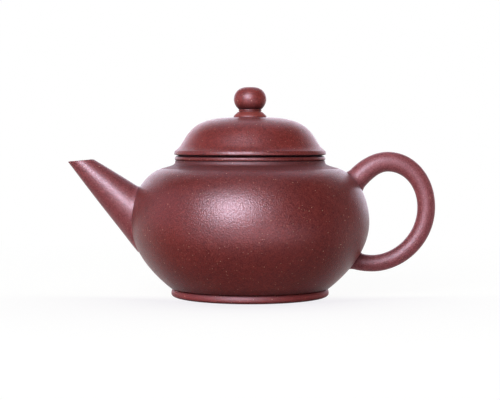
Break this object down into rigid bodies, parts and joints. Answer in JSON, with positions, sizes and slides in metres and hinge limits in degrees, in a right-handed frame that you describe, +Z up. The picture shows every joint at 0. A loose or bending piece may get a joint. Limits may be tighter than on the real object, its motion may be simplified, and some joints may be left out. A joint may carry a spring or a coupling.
{
  "type": "teapot",
  "caption": "Round-bellied unglazed clay teapot with a lift-off domed lid, ball knob, straight spout and ear-shaped handle.",
  "frame": {"origin": "on the axis of the turned body, in the plane of the table it stands on; the middle of the bounding box lies within a millimetre of it", "axes": "+Z up along the turned axis, -X towards the spout tip, +X towards the back of the handle, and the XZ plane is the plane of symmetry"},
  "size_m": [0.1413, 0.0918, 0.0802],
  "materials": {
    "purple_clay": "unglazed, fine grained, burnished to a soft satin"
  },
  "bodies": {
    "pot": {"belly_shell": "purple_clay", "base_disc": "purple_clay", "foot_ring": "purple_clay", "neck_ring": "purple_clay", "mouth_bead": "purple_clay", "spout": "purple_clay", "strainer_dome": "purple_clay", "handle": "purple_clay"},
    "lid": {"lid_dome": "purple_clay", "lid_rim": "purple_clay", "lid_flange": "purple_clay", "knob_foot": "purple_clay", "knob_collar": "purple_clay", "knob_ball": "purple_clay"}
  },
  "joints": [
    {"name": "lid_lift", "type": "slide", "parent": "pot", "child": "lid", "axis": [0, 0, 1], "range_m": [0, 0.04]}
  ]
}
